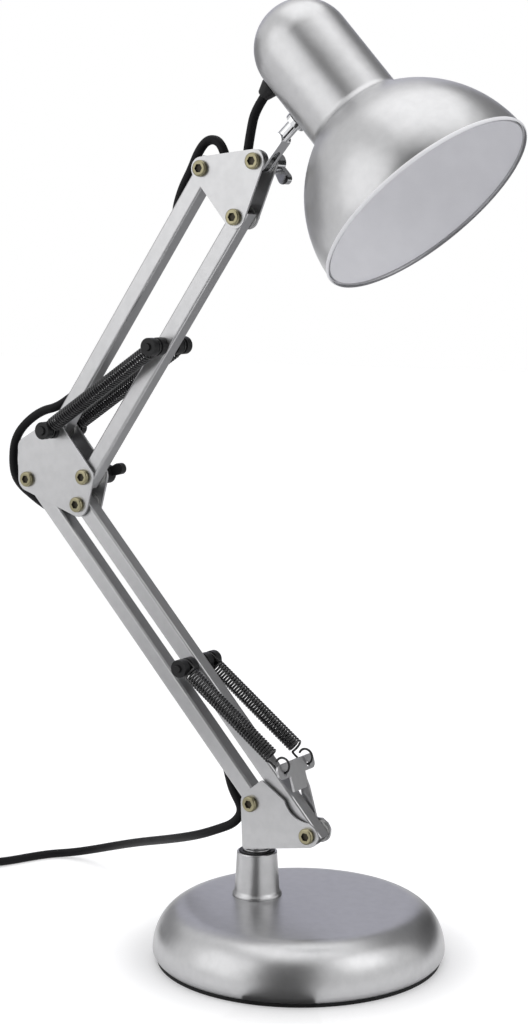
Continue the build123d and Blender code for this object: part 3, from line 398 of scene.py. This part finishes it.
# Shade: spun in one piece from steel sheet, a domed neck that flares into a bell with a rolled lip.
# It is satin silver outside and white inside.
white_enamel = finish(
    "white_enamel", (0.87, 0.87, 0.90), (0.90, 0.90, 0.93), grain=900, roughness=0.45, bump=0.05
)
neck_r, neck_long, fillet_r, flare = 0.027, 0.048, 0.006, math.radians(57)
rim_s, rim_r, wall = 0.1144, 0.064, 0.001
lip_r, lip_step, lip_wide, lip_start, lip_sweep = 0.0012, 0.0007, 0.0026, 160, 280
dome_steps, fillet_steps, bell_steps, lip_steps = 15, 8, 20, 10
inside_lean = -0.01
shade_place, shade_lean = (0.00212, 0, 0.5051), math.radians(138)


def shade_edge(inset):
    """Radius and place along the axis, from the top of the dome to the rim."""
    line = []
    for k in range(1, dome_steps + 1):
        angle = math.radians(90 * k / dome_steps)
        line.append(((neck_r - inset) * math.sin(angle), -(neck_r - inset) * math.cos(angle)))
    line.append((neck_r - inset, neck_long * 0.5))
    for k in range(fillet_steps + 1):
        angle = flare * k / fillet_steps
        bend = fillet_r + inset
        line.append((neck_r + fillet_r - bend * math.cos(angle), neck_long + bend * math.sin(angle)))
    start_r, start_s = line[-1]
    end_r, end_s = rim_r - lip_step - inset, rim_s - lip_wide
    across = Vector((end_s - start_s, end_r - start_r))
    normal = Vector((math.sin(flare), -math.cos(flare)))
    sweep_r = across.length_squared / (2 * across.dot(normal))
    centre = Vector((start_s, start_r)) + normal * sweep_r
    first = math.atan2(start_r - centre.y, start_s - centre.x)
    last = math.atan2(end_r - centre.y, end_s - centre.x)
    for k in range(1, bell_steps + 1):
        angle = first + (last - first) * k / bell_steps
        line.append((centre.y + sweep_r * math.sin(angle), centre.x + sweep_r * math.cos(angle)))
    return line


lip = []
for k in range(lip_steps + 1):
    angle = math.radians(lip_start - lip_sweep * k / lip_steps)
    lip.append((rim_r - lip_r + lip_r * math.sin(angle), rim_s - lip_r - lip_r * math.cos(angle)))
shade_profile = [(axis_r, -neck_r)] + shade_edge(0)
shade_profile += lip + shade_edge(wall)[::-1] + [(axis_r, -neck_r + wall)]
shade_piece = lathe("shade_bell", shade_profile, steps=160)
shade_piece.data.materials.append(silver)
shade_piece.data.materials.append(white_enamel)
for face in shade_piece.data.polygons:
    outward = Vector((face.center.x, face.center.y, 0)).normalized()
    face.material_index = 1 if face.normal.dot(outward) < inside_lean else 0
set_down(shade_piece, shade_place, shade_lean)
settle(shade_piece, "shade", None, "silver_paint", "shade_shell")

# Lamp holder: a glazed white holder on a steel strap, with a thin brass screw shell rolled into its
# bore and a brass contact at the bottom. A black gland guides the lead into the shade's neck.
porcelain = finish("glazed_white", (0.76, 0.75, 0.71), (0.80, 0.79, 0.76), grain=300, roughness=0.18)
brass = finish(
    "rolled_brass", (0.55, 0.42, 0.19), (0.62, 0.48, 0.23),
    grain=600, roughness=0.25, metallic=1.0, bump=0.05,
)
settle(dressed("lamp_holder", edge=0.0005), "shade", porcelain, "holder_white", "lamp_holder")
settle(dressed("holder_strap", edge=0.0002), "shade", zinc, "zinc_steel", "holder_strap")
coat_node(brass, "holder_contact")
thread_low, thread_high, thread_pitch, thread_steps = 0.0216, 0.0530, 0.0036, 70
thread_r, thread_deep, thread_sheet = 0.0131, 0.0004, 0.0003
thread_line = []
for k in range(thread_steps + 1):
    place = thread_low + (thread_high - thread_low) * k / thread_steps
    wave = math.cos(2 * math.pi * (place - thread_low) / thread_pitch)
    thread_line.append((thread_r + thread_deep * wave, place))
outer_line = [(radius + thread_sheet, place) for radius, place in thread_line[::-1]]
shell_piece = lathe("screw_shell", thread_line + outer_line + thread_line[:1], steps=64)
set_down(shell_piece, shade_place, shade_lean)
settle(shell_piece, "shade", brass, "yellow_zinc")
settle(dressed("cord_gland", edge=0.0004), "shade", black_plastic, "black_plastic", "cord_gland")

# Lead through the lamp: a round black lead from the shade's gland into the upper arm at the head and
# from arm to arm round the elbow, with slack at each joint. It is rubber, with a dull skin.
lead_black = finish(
    "black_lead", (0.006, 0.006, 0.007), (0.010, 0.010, 0.011),
    grain=500, roughness=0.5, bump=0.08, specular=0.12,
)
coat_node(lead_black, "upper_arm_cord", "lower_arm_cord")
lead_r = 0.00265


def lead(name, points):
    """A stretch of the lead along a smooth line through control points, and that line."""
    piece, path = wound(name, points, lead_r, sides=5, smooth=6)
    piece.data.materials.append(lead_black)
    return piece, path


loops = (
    ("head_loop_lead", "head_loop_cord", "upper_rear_arm", "head_bracket", [
        (-0.0836, 0.4129), (-0.0819, 0.4154), (-0.0824, 0.4219), (-0.0783, 0.4331), (-0.0719, 0.4433),
        (-0.0670, 0.4533), (-0.0611, 0.4595), (-0.0536, 0.4590), (-0.0491, 0.4515), (-0.0483, 0.4446),
        (-0.0450, 0.4384), (-0.0419, 0.4379),
    ]),
    ("head_dip_lead", "head_cord_lower", "head_bracket", "fork", [
        (-0.0419, 0.4379), (-0.0388, 0.4374), (-0.0352, 0.4434), (-0.0341, 0.4512),
    ]),
    ("gland_lead", "head_cord_upper", "fork", "shade", [
        (-0.0341, 0.4512), (-0.0330, 0.4590), (-0.0284, 0.4776), (0.0021, 0.5051), (0.0080, 0.4985),
    ]),
    ("elbow_upper_lead", "elbow_upper_cord", "upper_rear_arm", "elbow", [
        (-0.1511, 0.3186), (-0.1529, 0.3162), (-0.1585, 0.3134), (-0.1705, 0.3060), (-0.1830, 0.3034),
        (-0.1970, 0.2944), (-0.2046, 0.2840), (-0.2052, 0.2768),
    ]),
    ("elbow_lower_lead", "elbow_lower_cord", "elbow", "lower_rear_arm", [
        (-0.2052, 0.2768), (-0.2060, 0.2680), (-0.2016, 0.2586), (-0.1891, 0.2507), (-0.1787, 0.2452),
        (-0.1729, 0.2438), (-0.1708, 0.2416),
    ]),
)
for name, node, body_start, body_end, route in loops:
    piece, path = lead(name, [(x, 0, z) for x, z in route])
    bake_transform(piece)
    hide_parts(node)

# Mains lead: the same lead leaves the lower arm's slot in a tight fold, drops behind the base to the
# table and is wound into a tied coil beside the lamp, with a moulded plug at its end.
fold_end, hang_end = (-0.0423, 0, 0.0726), (-0.1200, 0.0330, 0.0396)
exit_route = [
    (-0.0531, 0, 0.1122), (-0.0510, 0, 0.1100), (-0.0485, 0, 0.1021), (-0.0452, 0, 0.0902),
    (-0.0389, 0, 0.0812), (-0.0396, 0, 0.0756), fold_end,
]
exit_piece, exit_path = lead("lead_fold", exit_route)
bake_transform(exit_piece)

table_z, coil_z = lead_r, 0.00355
lead_route = [
    fold_end, (-0.0450, 0, 0.0696), (-0.0540, 0.0006, 0.0654), (-0.0700, 0.0040, 0.0584),
    (-0.0930, 0.0160, 0.0496), hang_end, (-0.1520, 0.0530, 0.0280), (-0.1820, 0.0680, 0.0170),
    (-0.2060, 0.0750, 0.0086), (-0.2240, 0.0750, 0.0036), (-0.2360, 0.0676, table_z),
    (-0.2430, 0.0546, table_z), (-0.2490, 0.0404, table_z), (-0.2560, 0.0264, coil_z),
    (-0.2636, 0.0126, coil_z),
]
coil_centre = Vector((-0.30135, 0.01648, coil_z))
coil_x, coil_y = Vector((0.8944, -0.4472, 0)), Vector((0.4472, 0.8944, 0))
coil_rings = [0.0355, 0.0325, 0.0295, 0.0265]
coil_layers, coil_rise, coil_tuck, coil_ease, coil_points = 4, 0.0058, 0.0016, 1.0256, 7
side, height, near = 1, 0.0, coil_rings[0]
for layer in range(coil_layers):
    rings = coil_rings if layer % 2 == 0 else coil_rings[::-1]
    stops = [(ring, 0.0) for ring in rings[1:]]
    if layer < coil_layers - 1:
        stops.append((rings[-1] + math.copysign(coil_tuck, rings[-1] - rings[0]), coil_rise))
    for far, climb in stops:
        middle, reach = (near - far) / 2, (near + far) / 2 * coil_ease
        for k in range(coil_points):
            share = (k + 0.5) / coil_points
            along_x = coil_x * (middle + reach * math.cos(math.pi * share))
            along_y = coil_y * reach * math.sin(math.pi * share)
            up = Vector((0, 0, height + climb * share))
            lead_route.append(tuple(coil_centre + (along_x - along_y) * side + up))
        near, height, side = far, height + climb, -side
coil_end = coil_centre - coil_x * near + Vector((0, 0, height))
plug_run = (
    (0, 0.002, 0), (0, 0.015, 0), (-0.0035, 0.029, -0.0055), (-0.014, 0.040, -0.0134),
    (-0.029, 0.045, -0.0134),
)
for x, y, z in plug_run:
    lead_route.append(tuple(coil_end + coil_x * x + coil_y * y + Vector((0, 0, z))))
lead_piece, lead_path = lead("mains_lead_line", lead_route)
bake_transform(lead_piece)
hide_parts("mains_lead", "lead_coil")

strap_wide, strap_thick, strap_play, strap_points = 0.008, 0.0008, 0.00005, 64
bundle_near, bundle_far, strap_smooth = 0.01, 0.05, math.radians(40)
crossings = []
for a, b in zip(lead_path, lead_path[1:]):
    near_x, far_x = ((point - coil_centre).dot(coil_x) for point in (a, b))
    if near_x * far_x < 0:
        place = a.lerp(b, near_x / (near_x - far_x)) - coil_centre
        if bundle_near < place.dot(coil_y) < bundle_far:
            crossings.append(Vector((place.dot(coil_y), place.z)))
bpy.ops.object.select_all(action="DESELECT")
bpy.ops.mesh.primitive_circle_add(vertices=strap_points, radius=coil_rings[0])
strap = bpy.context.object
strap.name = strap.data.name = "coil_strap"
for k, vertex in enumerate(strap.data.vertices):
    angle = 2 * math.pi * k / strap_points
    way = Vector((math.cos(angle), math.sin(angle)))
    rim = max(crossings, key=way.dot) + way * (lead_r + strap_play)
    vertex.co = coil_centre + coil_y * rim.x + Vector((0, 0, rim.y)) - coil_x * strap_wide / 2
bpy.ops.object.mode_set(mode="EDIT")
bpy.ops.mesh.select_all(action="SELECT")
bpy.ops.mesh.extrude_region_move(TRANSFORM_OT_translate={"value": coil_x * strap_wide})
bpy.ops.mesh.select_all(action="SELECT")
bpy.ops.mesh.normals_make_consistent(inside=False)
bpy.ops.object.mode_set(mode="OBJECT")
band = strap.modifiers.new("band", "SOLIDIFY")
band.thickness = strap_thick
band.offset = 1
bpy.ops.object.modifier_apply(modifier="band")
bpy.ops.object.shade_smooth_by_angle(angle=strap_smooth)
settle(strap, "base", black_plastic, "black_plastic", "coil_tie")

boot_long, boot_step, boot_grow = 0.022, 0.0003, 0.0021
boot_path, boot_swell, run = [], [], 0.0
for a, b in zip(lead_path[::-1], lead_path[-2::-1]):
    if run < boot_long:
        boot_path.append(tuple(a))
        boot_swell.append(1 + (boot_step + boot_grow * (1 - run / boot_long)) / lead_r)
        run += (b - a).length
boot_piece, _ = wound("plug_boot", boot_path, lead_r, sides=5, smooth=4, swell=boot_swell)
settle(boot_piece, "base", black_plastic, "black_plastic")
plug_piece = settle(dressed("plug", edge=0), "base", black_plastic, "black_plastic", "plug")
blades_piece = settle(dressed("plug_blades", edge=0.0003), "base", brass, "yellow_zinc", "plug_blades")

# Table and light: a plain pale table, a white surround and three soft boxes, with cards outside the
# view that give the satin paint its soft bands. The table is lifted to white for the camera, less so
# beside the base, where the real shadow lies and a painted shadow greys the table further.
floor_size, painted_shadow_near, painted_shadow_far, lift_near, lift_far = 12, 0.08, 0.12, 0.22, 0.47
world_unseen, world_seen = 0.6, 1.0


def seen_rays(nodes, links):
    """One on rays that come from the camera, straight or by way of shiny and clear surfaces."""
    ray = nodes.new("ShaderNodeLightPath")
    share = ray.outputs["Is Camera Ray"]
    for kind in ("Is Glossy Ray", "Is Transmission Ray"):
        either = nodes.new("ShaderNodeMath")
        either.operation = "ADD"
        either.use_clamp = True
        links.new(share, either.inputs[0])
        links.new(ray.outputs[kind], either.inputs[1])
        share = either.outputs[0]
    return share


floor_paint = finish("pale_table", (0.78, 0.78, 0.79), (0.79, 0.79, 0.80), grain=20, roughness=0.6)
nodes, links = floor_paint.node_tree.nodes, floor_paint.node_tree.links
spot = nodes.new("ShaderNodeTexCoord")
distance = nodes.new("ShaderNodeVectorMath")
distance.operation = "LENGTH"
links.new(spot.outputs["Object"], distance.inputs[0])
# Painted shadow: near the base the lift is smaller, so the table there stays grey under any light.
painted_shadow_ramp = nodes.new("ShaderNodeMapRange")
painted_shadow_ramp.interpolation_type = "SMOOTHSTEP"
painted_shadow_ramp.inputs["From Min"].default_value = painted_shadow_near
painted_shadow_ramp.inputs["From Max"].default_value = painted_shadow_far
painted_shadow_ramp.inputs["To Min"].default_value = lift_near
painted_shadow_ramp.inputs["To Max"].default_value = lift_far
links.new(distance.outputs["Value"], painted_shadow_ramp.inputs["Value"])
lift = nodes.new("ShaderNodeMath")
lift.operation = "MULTIPLY"
links.new(seen_rays(nodes, links), lift.inputs[0])
links.new(painted_shadow_ramp.outputs["Result"], lift.inputs[1])
nodes["Principled BSDF"].inputs["Emission Color"].default_value = (1, 1, 1, 1)
links.new(lift.outputs[0], nodes["Principled BSDF"].inputs["Emission Strength"])
bpy.ops.object.select_all(action="DESELECT")
bpy.ops.mesh.primitive_plane_add(size=floor_size, location=(0, 0, 0))
floor = bpy.context.object
floor.name = "table"
floor.data.materials.append(floor_paint)

world = bpy.data.worlds.new("white_studio")
bpy.context.scene.world = world
world.use_nodes = True
nodes, links = world.node_tree.nodes, world.node_tree.links
nodes["Background"].inputs["Color"].default_value = (1, 1, 1, 1)
level = nodes.new("ShaderNodeMapRange")
level.inputs["To Min"].default_value = world_unseen
level.inputs["To Max"].default_value = world_seen
links.new(seen_rays(nodes, links), level.inputs["Value"])
links.new(level.outputs["Result"], nodes["Background"].inputs["Strength"])


def soft_box(name, place, aim, size, power):
    """A square soft box that looks at a point."""
    bpy.ops.object.light_add(type="AREA", location=place)
    lamp = bpy.context.object
    lamp.name = name
    lamp.data.shape = "SQUARE"
    lamp.data.size = size
    lamp.data.energy = power
    lamp.rotation_euler = (Vector(aim) - Vector(place)).to_track_quat("-Z", "Y").to_euler()


lamp_middle = Vector((0, 0, 0.25))
soft_box("key_box", (-0.90, -1.40, 0.92), lamp_middle, size=1.5, power=5.6)
soft_box("right_box", (1.47, 0.05, 1.28), lamp_middle, size=1.1, power=5)
soft_box("top_box", (-0.1, 0.1, 2.0), (0, 0, 0.2), size=1.6, power=7.5)


def card_paint(name, colour, colour_two):
    """A dull finish with no shine of its own."""
    return finish(name, colour, colour_two, grain=20, roughness=0.9, specular=0)


card_black = card_paint("card_black", (0.03, 0.03, 0.03), (0.04, 0.04, 0.04))
card_violet = card_paint("card_violet", (0.84, 0.84, 0.96), (0.85, 0.85, 0.97))
card_grey = card_paint("card_grey", (0.27, 0.27, 0.275), (0.28, 0.28, 0.285))
card_pale = card_paint("card_pale", (0.40, 0.40, 0.41), (0.41, 0.41, 0.42))
camera_side, card_far, card_lift = -58.1, 2, 0.0004


def card(name, material, place, facing, wide, tall):
    """A card outside the view that only shiny surfaces see."""
    bpy.ops.object.select_all(action="DESELECT")
    bpy.ops.mesh.primitive_plane_add(size=1, location=place)
    sheet = bpy.context.object
    sheet.name = name
    sheet.scale = (wide, tall, 1)
    sheet.rotation_euler = facing.to_track_quat("Z", "Y").to_euler()
    sheet.data.materials.append(material)
    sheet.visible_camera = sheet.visible_diffuse = sheet.visible_shadow = False


def standing_card(name, material, bearing, rise, wide, tall):
    """A card round the lamp, at a bearing from the camera's side, that faces it."""
    turn, lean = math.radians(bearing + camera_side), math.radians(rise)
    out = Vector((math.cos(turn) * math.cos(lean), math.sin(turn) * math.cos(lean), math.sin(lean)))
    card(name, material, lamp_middle + out * card_far, out, wide, tall)


def lying_card(name, material, bearing, near, far, near_wide, far_wide):
    """A card on the table, at a bearing from the camera's side, from a near to a far distance."""
    turn = math.radians(bearing + camera_side)
    out = Vector((math.cos(turn), math.sin(turn), 0))
    card(name, material, out * (near + far) / 2 + Vector((0, 0, card_lift)), Vector((0, 0, 1)), 1, 1)
    sheet = bpy.context.object
    sheet.rotation_euler = (0, 0, turn)
    sheet.scale = (far - near, far_wide, 1)
    for corner in sheet.data.vertices:
        if corner.co.x < 0:
            corner.co.y *= near_wide / far_wide


standing_card("card_front", card_black, bearing=-9, rise=17, wide=1.7, tall=3.0)
lying_card("card_front_table", card_black, bearing=-8, near=0.078, far=1.3, near_wide=0.04, far_wide=0.85)
standing_card("card_right", card_black, bearing=134, rise=4, wide=1.9, tall=1.2)
standing_card("card_right_high", card_grey, bearing=134, rise=37, wide=1.9, tall=1.3)
lying_card("card_right_table", card_pale, bearing=144, near=0.25, far=1.4, near_wide=1.1, far_wide=1.1)
lying_card("card_left_table", card_pale, bearing=-65, near=0.4, far=1.9, near_wide=0.45, far_wide=0.45)
standing_card("card_left", card_pale, bearing=-140, rise=2, wide=1.6, tall=1.4)
standing_card("card_back", card_violet, bearing=186, rise=22, wide=2.0, tall=1.6)

bpy.ops.object.camera_add(
    location=(0.5640, -0.9070, 0.3863), rotation=(math.radians(82.95), 0, math.radians(32.93))
)
camera = bpy.context.object
camera.data.sensor_fit = "VERTICAL"
camera.data.sensor_height = 36
camera.data.lens = 68.29
bpy.context.scene.camera = camera
bpy.context.scene.view_settings.view_transform = "Standard"
